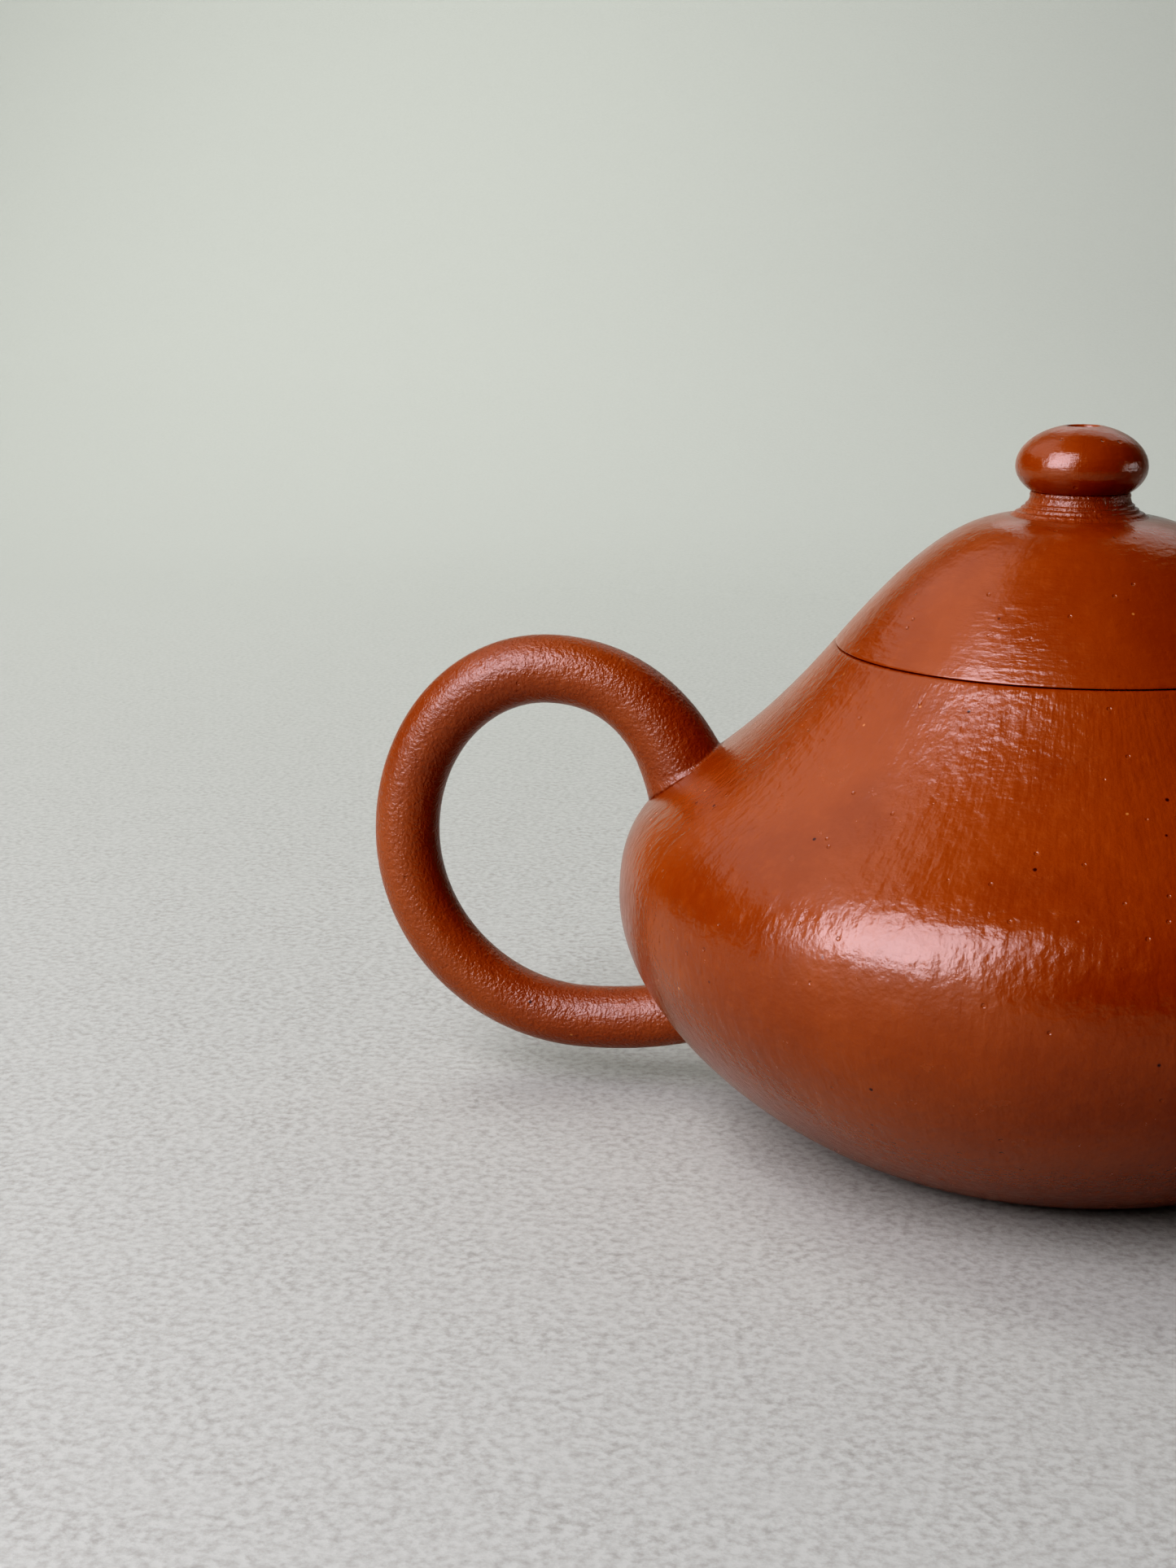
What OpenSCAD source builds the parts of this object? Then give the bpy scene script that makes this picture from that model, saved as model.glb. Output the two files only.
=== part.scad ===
// A small unglazed clay teapot of low pear shape, with a lid whose curve carries on the curve of the body.
// The pot stands on the XY plane with its axis of revolution on Z. The spout points along +X, the handle
// along -X. Each clay member that the potter makes by itself and lutes on is a separate solid.

/* [Body] */
// Greatest radius of the body
belly_r = 39; // [32:0.5:47]
// Height of the greatest radius
belly_z = 21; // [17:0.5:25.5]
// Outer radius of the flat ring that the pot stands on
foot_r = 19.5; // [16:0.5:23.5]
// Width of that flat ring
foot_land = 2; // [1.5:0.1:2.5]
// Slope of the flank where it leaves the foot, in degrees
foot_slope = 8; // [5:1:12]
// Thickness of the body wall
wall = 2.4; // [1.8:0.1:2.9]

/* [Mouth] */
// Radius of the seam between the lid and the body
mouth_r = 20.5; // [17.5:0.5:24.5]
// Height of that seam
mouth_z = 43.2; // [39:0.2:52]
// Direction of the outline at the seam, in degrees from outward
mouth_lean = 129; // [124:1:134]
// Depth of the thickened ring inside the mouth
rim_depth = 2.6; // [2:0.1:3.5]
// Radius of the fine groove that the meeting edges leave along the seam
seam_groove = 0.16; // [0.1:0.02:0.24]

/* [Base disc] */
// Radius of the disc that closes the bottom
disc_r = 16.5; // [13.5:0.5:17]
// Thickness of the disc
disc_wall = 2; // [1.6:0.1:2.4]
// How far the disc is pressed up at its centre
disc_press = 0.8; // [0.4:0.1:1.2]

/* [Lid] */
// Height of the lid from the seam to the foot of the knob's collar
lid_rise = 11.3; // [9.5:0.1:13.6]
// Thickness of the lid
lid_wall = 2.2; // [1.8:0.1:2.7]
// Slope of the lid under the collar, in degrees
crown_slope = 7; // [5:1:10]
// Height of the flat ring that the dome stands on
seat_h = 2; // [1.6:0.1:2.6]
// Depth of the flange that reaches into the mouth
flange_depth = 7.5; // [6:0.5:9]
// Thickness of the flange
flange_wall = 2.2; // [1.8:0.1:2.6]
// Radial gap between the flange and the mouth
flange_gap = 0.2; // [0.15:0.05:0.3]

/* [Knob] */
// Greatest radius of the knob
knob_r = 5.54; // [4.7:0.1:6.6]
// Height of the knob above its greatest radius
knob_crown = 3.55; // [3:0.05:4.2]
// Depth of the knob's round underside below its greatest radius
knob_belly = 3.2; // [2.8:0.1:3.8]
// Radius of the foot of the collar under the knob
collar_r = 5.8; // [5.4:0.1:6.6]
// Radius of the collar's neck
neck_r = 4.15; // [3.6:0.05:4.4]
// Height of the collar
collar_h = 2.05; // [1.8:0.05:2.5]
// Number of fine rings turned in the collar
collar_rings = 3; // [0:1:3]
// Radius of the vent through the knob and the lid
vent_r = 1.35; // [1:0.05:1.6]

/* [Handle] */
// How far the middle of the handle stands out past the belly
handle_reach = 21; // [17.5:0.5:25]
// Height of the middle of the handle at its top
handle_top_z = 39.5; // [36:0.25:42]
// Height of the middle of the handle at its lowest
handle_low_z = 6.6; // [5.4:0.1:7.5]
// Radius of the handle at the top
handle_top_r = 3.2; // [2.7:0.05:3.7]
// Radius of the handle at the bottom
handle_low_r = 2.8; // [2.4:0.05:3.3]
// How much thicker the upper root of the handle is, and twice what the lower one gains
handle_flare = 0.6; // [0.2:0.1:0.9]

/* [Spout] */
// Radius of the spout's root
spout_root_r = 8.4; // [7:0.1:9.5]
// Radius of the spout's tip
spout_tip_r = 4; // [3.6:0.1:4.6]
// How far the middle of the tip stands out past the belly
spout_reach = 14.5; // [12:0.5:17]
// Height of the lip above the seam
lip_rise = 0.8; // [0:0.1:1.6]
// Thickness of the spout at the lip
lip_wall = 1.1; // [0.9:0.1:1.3]
// Slope of the spout at its root, in degrees
spout_root_slope = 22; // [16:1:28]
// Slope of the spout at its tip, in degrees
spout_tip_slope = 62; // [54:1:68]
// Radius of the hole through the body wall behind the spout
inlet_r = 4.6; // [3.8:0.1:5]

/* [Strainer] */
// Outer radius of the strainer dome
strainer_r = 7; // [6.4:0.1:7.6]
// Thickness of the strainer dome
strainer_wall = 1.2; // [1:0.1:1.4]
// Radius of one strainer hole
strainer_hole_r = 0.6; // [0.4:0.05:0.7]
// Rings of holes round the middle one
strainer_rings = 3; // [2:1:3]

/* [Hidden] */

clay = [0.66, 0.25, 0.12];
clay_light = [0.72, 0.30, 0.16];
clay_dark = [0.56, 0.20, 0.10];

$fn = 96;
outline_steps = 28;   // points along each stretch of an outline
sweep_steps = 12;     // rings along each stretch of the handle, twice as many along the spout
sweep_sides = 24;     // sides of the handle and the spout
through = 1;          // how far a cut runs past what it cuts

bore_r = mouth_r - 3.1;                       // the mouth's inner wall
rim_z = mouth_z - rim_depth;                  // where the wall ends and the mouth ring begins
flange_r = bore_r - flange_gap;
flange_in_r = flange_r - flange_wall;
dome_z = mouth_z + seat_h;                    // where the dome stands on its seat ring
crown_z = mouth_z + lid_rise;                 // where the collar stands on the dome
knob_seat_z = crown_z + collar_h;
knob_z = knob_seat_z + knob_belly * sqrt(1 - pow(neck_r / knob_r, 2));
knob_top_z = knob_z + knob_crown;
disc_edge_z = wall - disc_wall;

// Curves: a cubic is a list of its four control points.
function leg(angle, length) = length * [cos(angle), sin(angle)];
function cubic(p, angle_p, leg_p, q, angle_q, leg_q) = [p, p + leg(angle_p, leg_p), q - leg(angle_q, leg_q), q];
function at(c, t) = pow(1 - t, 3) * c[0] + 3 * t * pow(1 - t, 2) * c[1] + 3 * t * t * (1 - t) * c[2]
                    + pow(t, 3) * c[3];
function heading(c, t) = pow(1 - t, 2) * (c[1] - c[0]) + 2 * t * (1 - t) * (c[2] - c[1]) + t * t * (c[3] - c[2]);
function along(c, n) = [for (i = [0:n]) at(c, i / n)];
// The same curve moved to its left by d, which is towards the axis on an outline that runs upwards.
function inset(c, n, d) = [for (i = [0:n]) let (v = heading(c, i / n)) at(c, i / n) + d * [-v.y, v.x] / norm(v)];
function tail(points) = [for (i = [1:len(points) - 1]) points[i]];
function backwards(points) = [for (i = [len(points) - 1:-1:0]) points[i]];

// Outer outlines, from the foot up. Each leg's length is a share of the stretch that it shapes.
shoulder_chord = norm([belly_r - mouth_r, mouth_z - belly_z]);
flank = cubic([foot_r, 0], foot_slope, 0.24 * (belly_r - foot_r), [belly_r, belly_z], 90, 0.51 * belly_z);
shoulder = cubic([belly_r, belly_z], 90, 0.455 * (mouth_z - belly_z),
                 [mouth_r, mouth_z], mouth_lean, 0.68 * shoulder_chord);
crown = cubic([mouth_r, mouth_z], mouth_lean, 0.81 * (mouth_r - collar_r),
              [collar_r, crown_z], 180 - crown_slope, 0.25 * (mouth_r - collar_r));
pot_skin = concat(along(flank, outline_steps), tail(along(shoulder, outline_steps)));
pot_lining = concat(inset(flank, outline_steps, wall), tail(inset(shoulder, outline_steps, wall)));

module turn() { rotate_extrude() children(); }

// The whole of the body as one solid, out to its skin and out to its lining.
module body_solid() { turn() polygon(concat([[0, 0]], pot_skin, [[0, mouth_z]])); }
module chamber_solid() {
    lining_top = pot_lining[len(pot_lining) - 1];
    turn() polygon(concat([[0, wall]], pot_lining, [[0, lining_top.y]]));
}

// A half-round groove along the seam, which takes the sharp edge off the lid and the mouth.
module seam_cut() { turn() translate([mouth_r, mouth_z]) circle(r = seam_groove, $fn = 24); }

// --- The spout's route, which the inlet and the strainer follow ---
lip_z = mouth_z + lip_rise;
inlet_at = at(shoulder, 0.07) - [wall, 0];       // where the spout's axis passes the lining
spout_root = inlet_at - leg(spout_root_slope, 4);
spout_tip = [belly_r + spout_reach, lip_z];
spout_over = 6;                                  // the sweep runs this far past the lip before it is cut
spout_span = norm(spout_tip - spout_root);
spout_line = cubic(spout_root, spout_root_slope, 0.38 * spout_span,
                   spout_tip + leg(spout_tip_slope, spout_over), spout_tip_slope, 0.5 * spout_span);
function spout_outer(t) = spout_tip_r + (spout_root_r - spout_tip_r) * pow(1 - t, 1.5);
function spout_inner(t) = (spout_tip_r - lip_wall) + (inlet_r + 0.4 - spout_tip_r + lip_wall) * pow(1 - t, 1.2);

// A tube of round rings whose middles follow points in the XZ plane, as one closed polyhedron.
module sweep(points, headings, radii) {
    n = len(points);
    m = sweep_sides;
    rings = [for (i = [0:n - 1]) for (j = [0:m - 1])
        let (h = headings[i] / norm(headings[i]), a = 360 * j / m,
             side = radii[i] * sin(a), up = radii[i] * cos(a))
        [points[i].x - h.y * up, side, points[i].y + h.x * up]];
    skin = [for (i = [0:n - 2]) for (j = [0:m - 1])
        let (a = i * m + j, b = i * m + (j + 1) % m) each [[a, b, b + m], [a, b + m, a + m]]];
    first = [[for (j = [m - 1:-1:0]) j]];
    last = [[for (j = [0:m - 1]) (n - 1) * m + j]];
    polyhedron(rings, concat(skin, first, last), convexity = 6);
}

module spout_tube(radius_list) {
    n = 2 * sweep_steps;
    sweep(along(spout_line, n), [for (i = [0:n]) heading(spout_line, i / n)], radius_list);
}

// --- Pieces of the pot ---
module body_wall() {
    color(clay) difference() {
        turn() intersection() {
            polygon(concat(pot_skin, backwards(pot_lining),
                           [[disc_r, wall], [disc_r, disc_edge_z], [foot_r - foot_land, 0]]));
            square([2 * belly_r, rim_z]);
        }
        inlet_cut();
    }
}

module inlet_cut() {
    translate([spout_root.x, 0, spout_root.y])
        rotate([0, 90 - spout_root_slope, 0])
            cylinder(r = inlet_r, h = 5 * wall);
}

module base_disc() {
    function pressed(z) = [for (i = [0:outline_steps / 2])
        let (r = disc_r * 2 * i / outline_steps) [r, z + disc_press * (1 - pow(r / disc_r, 2))]];
    color(clay_dark) turn() polygon(concat(pressed(disc_edge_z), backwards(pressed(wall))));
}

module mouth_ring() {
    color(clay_light) difference() {
        turn() intersection() {
            polygon(concat([[0, 0]], pot_skin, [[0, mouth_z]]));
            translate([bore_r, rim_z]) square([belly_r, rim_depth]);
        }
        seam_cut();
    }
}

module handle() {
    top = [belly_r + 7.3, handle_top_z];
    back = [belly_r + handle_reach, (handle_top_z + handle_low_z) / 2 + 0.45];
    low = [belly_r + 3.9, handle_low_z];
    round = 0.5523;                              // leg of a quarter round, as a share of its radius
    upper_root = at(shoulder, 0.49) - leg(-50, wall / 2);
    lower_root = at(flank, 0.57) - leg(-10, wall);
    stretches = [
        cubic(upper_root, 66, 0.33 * norm(top - upper_root), top, 0, 0.44 * norm(top - upper_root)),
        cubic(top, 0, round * (back.x - top.x), back, -90, round * (top.y - back.y)),
        cubic(back, -90, round * (back.y - low.y), low, 180, round * (back.x - low.x)),
        cubic(low, 180, 0.3 * norm(low - lower_root), lower_root, 155, 0.32 * norm(low - lower_root))];
    steps = [sweep_steps, sweep_steps, sweep_steps, sweep_steps / 2];
    spots = [for (k = [0:3]) for (i = [(k == 0 ? 0 : 1):steps[k]]) [k, i / steps[k]]];
    last = len(spots) - 1;
    function thick(s) = handle_top_r + (handle_low_r - handle_top_r) * s
                        + handle_flare * pow(max(0, 1 - s / 0.25), 2)
                        + handle_flare / 2 * pow(max(0, 1 - (1 - s) / 0.12), 2);
    color(clay) difference() {
        mirror([1, 0, 0]) sweep([for (p = spots) at(stretches[p[0]], p[1])],
                                [for (p = spots) heading(stretches[p[0]], p[1])],
                                [for (i = [0:last]) thick(i / last)]);
        body_solid();
    }
}

module spout() {
    n = 2 * sweep_steps;
    color(clay) difference() {
        spout_tube([for (i = [0:n]) spout_outer(i / n)]);
        body_solid();
        spout_tube([for (i = [0:n]) spout_inner(i / n)]);
        translate([0, -belly_r, lip_z]) cube(2 * belly_r);
    }
}

// A thin pierced dome over the inlet, inside the chamber.
module spout_strainer() {
    middle = [inlet_at.x, 0, inlet_at.y];
    color(clay_light) intersection() {
        difference() {
            translate(middle) sphere(r = strainer_r);
            translate(middle) sphere(r = strainer_r - strainer_wall);
            translate(middle) strainer_holes();
        }
        chamber_solid();
    }
}

module strainer_holes() {
    for (ring = [0:strainer_rings], i = [0:max(1, 6 * ring) - 1])
        rotate([360 * i / max(1, 6 * ring), 0, 0])
            rotate([0, -90 + 21 * ring, 0])
                translate([0, 0, strainer_r - strainer_wall - through])
                    cylinder(r = strainer_hole_r, h = strainer_wall + 2 * through, $fn = 24);
}

// --- Pieces of the lid ---
module lid_flange() {
    bottom = mouth_z - flange_depth;
    ease = 0.5;                                  // chamfer on the flange's leading edge
    color(clay_light) turn() polygon([
        [flange_in_r, mouth_z], [flange_in_r, bottom + ease], [flange_in_r + ease, bottom],
        [flange_r - ease, bottom], [flange_r, bottom + ease], [flange_r, mouth_z]]);
}

module lid_seat_ring() {
    color(clay) difference() {
        turn() intersection() {
            polygon(concat([[0, mouth_z]], along(crown, outline_steps), [[0, crown_z]]));
            translate([flange_in_r, mouth_z]) square([mouth_r, seat_h]);
        }
        seam_cut();
    }
}

module lid_dome() {
    lining = inset(crown, outline_steps, lid_wall);
    ceiling = lining[len(lining) - 1];
    color(clay) difference() {
        turn() intersection() {
            polygon(concat(along(crown, outline_steps), [[0, crown_z], [0, ceiling.y]], backwards(lining)));
            translate([0, dome_z]) square([mouth_r, lid_rise]);
        }
        vent_cut();
    }
}

module vent_cut() {
    translate([0, 0, dome_z]) cylinder(r = vent_r, h = knob_top_z - dome_z + through, $fn = 48);
}

module knob_collar() {
    side = cubic([collar_r, crown_z], 148, 0.75 * (collar_r - neck_r), [neck_r, knob_seat_z], 92, 0.5 * collar_h);
    color(clay) difference() {
        turn() polygon(concat(along(side, outline_steps / 2), [[0, knob_seat_z], [0, crown_z]]));
        vent_cut();
        for (i = [1:1:collar_rings]) turn() translate(at(side, 0.16 * i)) circle(r = 0.13, $fn = 16);
    }
}

module knob() {
    low = -asin((knob_z - knob_seat_z) / knob_belly);
    rim = [for (i = [0:outline_steps])
        let (a = low + (90 - low) * i / outline_steps)
        [knob_r * cos(a), knob_z + (a < 0 ? knob_belly : knob_crown) * sin(a)]];
    color(clay) difference() {
        turn() polygon(concat([[0, knob_seat_z]], rim));
        vent_cut();
    }
}

body_wall();
base_disc();
mouth_ring();
handle();
spout();
spout_strainer();
lid_flange();
lid_seat_ring();
lid_dome();
knob_collar();
knob();
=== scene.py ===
"""A small unglazed teapot of burnished red clay, thrown low and pear-shaped.

The lid carries on the curve of the body, so that a fine seam is all that parts them. Every piece is
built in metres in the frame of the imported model, rides on one of its bodies and is dressed in clay
that is worked as the real one is: burnished outside, scraped inside, bare at the foot.
"""

import logging
import math
from bisect import bisect_left
from dataclasses import dataclass, field
from enum import Enum
from typing import Callable, Sequence

import bmesh
import bpy
from mathutils import Euler, Matrix, Vector


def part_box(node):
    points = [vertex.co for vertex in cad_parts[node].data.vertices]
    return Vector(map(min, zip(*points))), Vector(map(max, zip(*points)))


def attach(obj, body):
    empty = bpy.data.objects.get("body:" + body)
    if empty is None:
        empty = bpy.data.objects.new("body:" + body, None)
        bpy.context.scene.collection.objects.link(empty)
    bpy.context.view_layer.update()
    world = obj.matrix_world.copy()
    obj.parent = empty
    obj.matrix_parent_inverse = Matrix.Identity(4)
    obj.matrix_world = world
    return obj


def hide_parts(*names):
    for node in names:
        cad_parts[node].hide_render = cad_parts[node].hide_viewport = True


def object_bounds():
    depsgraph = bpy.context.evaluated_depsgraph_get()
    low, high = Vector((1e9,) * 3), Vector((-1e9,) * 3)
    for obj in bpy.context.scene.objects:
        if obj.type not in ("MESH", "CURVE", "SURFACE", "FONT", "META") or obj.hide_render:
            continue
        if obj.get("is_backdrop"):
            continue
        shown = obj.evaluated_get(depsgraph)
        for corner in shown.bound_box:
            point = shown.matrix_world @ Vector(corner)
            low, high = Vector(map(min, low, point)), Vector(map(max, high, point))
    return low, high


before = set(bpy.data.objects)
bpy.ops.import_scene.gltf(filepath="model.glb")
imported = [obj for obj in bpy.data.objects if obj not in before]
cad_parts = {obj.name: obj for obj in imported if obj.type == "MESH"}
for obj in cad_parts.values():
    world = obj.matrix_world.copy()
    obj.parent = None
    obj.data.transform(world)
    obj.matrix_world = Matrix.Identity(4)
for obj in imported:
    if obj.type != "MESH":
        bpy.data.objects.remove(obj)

MM = 0.001
UP = Vector((0.0, 0.0, 1.0))
ACROSS = Vector((0.0, 1.0, 0.0))
WELD = 1e-7  # points nearer than this are one point
HALVINGS = 40

log = logging.getLogger("teapot")

Point = tuple[float, float]


# --- Colour and nodes ---------------------------------------------------------------------------


def linear(hex_colour: str) -> tuple[float, float, float, float]:
    """Turn an sRGB hex colour into linear light.

    Args:
        hex_colour: Six hex digits, with or without a leading hash.

    Returns:
        Red, green, blue and an alpha of one.
    """
    digits = hex_colour.lstrip("#")
    parts = [int(digits[i : i + 2], 16) / 255 for i in (0, 2, 4)]
    r, g, b = [c / 12.92 if c <= 0.04045 else ((c + 0.055) / 1.055) ** 2.4 for c in parts]
    return (r, g, b, 1.0)


def per(size_mm: float) -> float:
    """Give the pattern scale, in repeats per metre, of a feature of this many millimetres."""
    return 1000.0 / size_mm


def add_node(tree: bpy.types.NodeTree, kind: str, settings: dict | None = None, **inputs: object) -> bpy.types.Node:
    """Add a node with its settings, values and links.

    Args:
        tree: The material's or world's node tree.
        kind: The node's type name.
        settings: Attributes of the node, such as its operation.
        **inputs: A value or an output socket for each input, by name with spaces as underscores, or i0, i1.

    Returns:
        The new node.
    """
    node = tree.nodes.new(kind)
    for name, value in (settings or {}).items():
        setattr(node, name, value)
    for name, value in inputs.items():
        spot = int(name[1:]) if name[0] == "i" and name[1:].isdigit() else name.replace("_", " ")
        if isinstance(value, bpy.types.NodeSocket):
            tree.links.new(value, node.inputs[spot])
        else:
            node.inputs[spot].default_value = value
    return node


# --- Finishes -----------------------------------------------------------------------------------


class Working(Enum):
    """How a surface of the clay was worked before the firing."""

    BEATEN = "beaten"
    TURNED = "turned"
    ROLLED = "rolled"
    SCRAPED = "scraped"
    FOOT = "foot"


@dataclass(frozen=True)
class RedClay:
    """Fired red zhuni-type clay, an iron-rich stoneware without glaze.

    Attributes:
        name: The material's name.
        body: The clay's main colour.
        deep: Where the fire left more iron at the surface.
        warm: Where it is thinner and more orange.
        roughness: How matt the surface is.
        coat: Share of the thin skin that rubbing polishes.
        peel_um: Height of the soft waves left by the beating or the fingers, in micrometres.
        upward_um: Height of the strokes up the pot, in micrometres.
        round_um: Height of the strokes round it, in micrometres.
        grain_um: Height of the grain of the clay, in micrometres.
        pit_um: Depth of the pits, in micrometres.
    """

    name: str
    body: str
    deep: str
    warm: str
    roughness: float
    coat: float
    peel_um: float
    upward_um: float
    round_um: float
    grain_um: float
    pit_um: float

    def material(self) -> bpy.types.Material:
        """Build the material's nodes on Object coordinates."""
        made = bpy.data.materials.new(self.name)
        made.use_nodes = True
        tree = made.node_tree
        tree.nodes.clear()
        place = add_node(tree, "ShaderNodeTexCoord").outputs["Object"]
        shader = add_node(
            tree,
            "ShaderNodeBsdfPrincipled",
            Base_Color=self._colour(tree, place),
            Roughness=self._roughness(tree, place),
            Normal=self._relief(tree, place),
        )
        shader.inputs["IOR"].default_value = 1.5
        shader.inputs["Specular IOR Level"].default_value = 0.62
        shader.inputs["Specular Tint"].default_value = linear("FFFCFB")
        shader.inputs["Coat Weight"].default_value = self.coat
        shader.inputs["Coat Roughness"].default_value = 0.12
        add_node(tree, "ShaderNodeOutputMaterial", Surface=shader.outputs["BSDF"])
        return made

    def _colour(self, tree: bpy.types.NodeTree, place: bpy.types.NodeSocket) -> bpy.types.NodeSocket:
        """Mix the clay's colours: fire clouds, a fine mottle, dark iron grains and pale sand grains."""
        cloud = add_node(tree, "ShaderNodeTexNoise", Vector=place, Scale=per(16), Detail=3.0, Roughness=0.55)
        mottle = add_node(tree, "ShaderNodeTexNoise", Vector=place, Scale=per(1.3), Detail=3.0, Roughness=0.62)
        clouded = self._mix(
            tree, self._ramp(tree, cloud.outputs["Fac"], 0.40, 0.66), linear(self.body), linear(self.deep)
        )
        warmed = self._mix(tree, self._ramp(tree, mottle.outputs["Fac"], 0.45, 0.80, 0.35), clouded, linear(self.warm))
        iron = self._grains(tree, place, 1.9, 0.11, 0.88)
        dark = self._mix(tree, iron, warmed, linear(IRON_GRAIN))
        sand = self._grains(tree, place, 2.3, 0.075, 0.92)
        return self._mix(tree, sand, dark, linear(SAND_GRAIN))

    def _roughness(self, tree: bpy.types.NodeTree, place: bpy.types.NodeSocket) -> bpy.types.NodeSocket:
        """Vary the polish in patches a few millimetres across."""
        patch = add_node(tree, "ShaderNodeTexNoise", Vector=place, Scale=per(2.6), Detail=4.0, Roughness=0.65)
        spread = add_node(
            tree,
            "ShaderNodeMapRange",
            Value=patch.outputs["Fac"],
            From_Min=0.3,
            From_Max=0.7,
            To_Min=self.roughness - 0.03,
            To_Max=self.roughness + 0.06,
        )
        return spread.outputs["Result"]

    def _relief(self, tree: bpy.types.NodeTree, place: bpy.types.NodeSocket) -> bpy.types.NodeSocket:
        """Stack the heights: soft peel, strokes up and round the pot, grain and pits."""
        flat = add_node(tree, "ShaderNodeVectorMath", {"operation": "MULTIPLY"}, i0=place, i1=(1.0, 1.0, 0.0))
        bearing = add_node(tree, "ShaderNodeVectorMath", {"operation": "NORMALIZE"}, i0=flat.outputs[0])
        rounded = add_node(
            tree, "ShaderNodeVectorMath", {"operation": "SCALE"}, i0=bearing.outputs[0], Scale=30 * MM * per(0.75)
        )
        climb = add_node(
            tree, "ShaderNodeVectorMath", {"operation": "MULTIPLY"}, i0=place, i1=(per(9), per(9), per(2.6))
        )
        upward = add_node(
            tree, "ShaderNodeVectorMath", {"operation": "ADD"}, i0=rounded.outputs[0], i1=climb.outputs[0]
        )
        around = add_node(tree, "ShaderNodeMapping", Vector=place, Scale=(per(2.2), per(2.2), per(0.42)))
        layers = [
            (self._noise(tree, place, per(1.15), 1.5), self.peel_um),
            (self._noise(tree, upward.outputs[0], 1.0, 2.0), self.upward_um),
            (self._noise(tree, around.outputs[0], 1.0, 2.0), self.round_um),
            (self._noise(tree, place, per(0.32), 2.0), self.grain_um),
            (self._grains(tree, place, 1.6, 0.13, 0.62), -self.pit_um),
        ]
        normal: bpy.types.NodeSocket | None = None
        for height, micrometres in layers:
            bump = add_node(
                tree,
                "ShaderNodeBump",
                {"invert": micrometres < 0},
                Strength=1.0,
                Distance=abs(micrometres) * 1e-6,
                Height=height,
            )
            if normal is not None:
                tree.links.new(normal, bump.inputs["Normal"])
            normal = bump.outputs["Normal"]
        return normal

    @staticmethod
    def _noise(
        tree: bpy.types.NodeTree, place: bpy.types.NodeSocket, scale: float, detail: float
    ) -> bpy.types.NodeSocket:
        """Give a soft noise."""
        made = add_node(tree, "ShaderNodeTexNoise", Vector=place, Scale=scale, Detail=detail, Roughness=0.55)
        return made.outputs["Fac"]

    def _grains(
        self, tree: bpy.types.NodeTree, place: bpy.types.NodeSocket, apart_mm: float, size: float, rare: float
    ) -> bpy.types.NodeSocket:
        """Scatter round grains.

        Args:
            tree: The node tree.
            place: The coordinates.
            apart_mm: Mean distance between the cells that may hold one.
            size: A grain's radius, as a share of that.
            rare: Share of the cells that stay empty.

        Returns:
            One in a grain and nought outside.
        """
        cells = add_node(tree, "ShaderNodeTexVoronoi", Vector=place, Scale=per(apart_mm), Randomness=1.0)
        pick = add_node(tree, "ShaderNodeSeparateColor", Color=cells.outputs["Color"])
        near = self._ramp(tree, cells.outputs["Distance"], size, size * 0.5)
        kept = self._ramp(tree, pick.outputs["Red"], rare, rare + 0.04)
        both = add_node(tree, "ShaderNodeMath", {"operation": "MULTIPLY"}, i0=near, i1=kept)
        return both.outputs[0]

    @staticmethod
    def _ramp(
        tree: bpy.types.NodeTree, value: bpy.types.NodeSocket, low: float, high: float, top: float = 1.0
    ) -> bpy.types.NodeSocket:
        """Map a value smoothly from nought at low to top at high."""
        made = add_node(
            tree,
            "ShaderNodeMapRange",
            {"interpolation_type": "SMOOTHSTEP"},
            Value=value,
            From_Min=min(low, high),
            From_Max=max(low, high),
            To_Min=0.0 if low < high else top,
            To_Max=top if low < high else 0.0,
        )
        return made.outputs["Result"]

    @staticmethod
    def _mix(
        tree: bpy.types.NodeTree, share: bpy.types.NodeSocket, first: object, second: object
    ) -> bpy.types.NodeSocket:
        """Mix two colours by a share."""
        made = add_node(tree, "ShaderNodeMix", {"data_type": "RGBA"}, i0=share, i6=first, i7=second)
        return made.outputs[2]


IRON_GRAIN = "3A1408"
SAND_GRAIN = "A66A3C"

# The heights are taller than the real marks, and the grain is coarser: real ones are too fine to show.
FINISHES = {
    # Beaten with a paddle and rubbed with horn: a bright satin skin, rippled by strokes that climb the pot.
    Working.BEATEN: RedClay(
        "zhuni_clay_beaten_burnished", "803C0F", "76350B", "894314", 0.22, 0.06, 88.0, 62.0, 12.0, 30.0, 50.0
    ),
    # Turned and rubbed on the wheel: the same skin, with its ripples running round.
    Working.TURNED: RedClay(
        "zhuni_clay_turned_burnished", "803C0F", "76350B", "894314", 0.20, 0.06, 56.0, 12.0, 50.0, 22.0, 50.0
    ),
    # Rolled by hand and smoothed with a wet finger: lumpier and a little less bright.
    Working.ROLLED: RedClay(
        "zhuni_clay_rolled_burnished", "803D11", "75350E", "8D4717", 0.29, 0.05, 80.0, 16.0, 20.0, 130.0, 60.0
    ),
    # Scraped with a bamboo blade and left: matt, paler, with clear marks round it.
    Working.SCRAPED: RedClay(
        "zhuni_clay_scraped", "A5512A", "934420", "B5623A", 0.62, 0.0, 14.0, 2.0, 22.0, 9.0, 20.0
    ),
    # Bare and worn at the ring that the pot stands on.
    Working.FOOT: RedClay(
        "zhuni_clay_worn_foot", "A8603C", "96502E", "BC7450", 0.55, 0.0, 6.0, 0.0, 6.0, 9.0, 20.0
    ),
}


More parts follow.
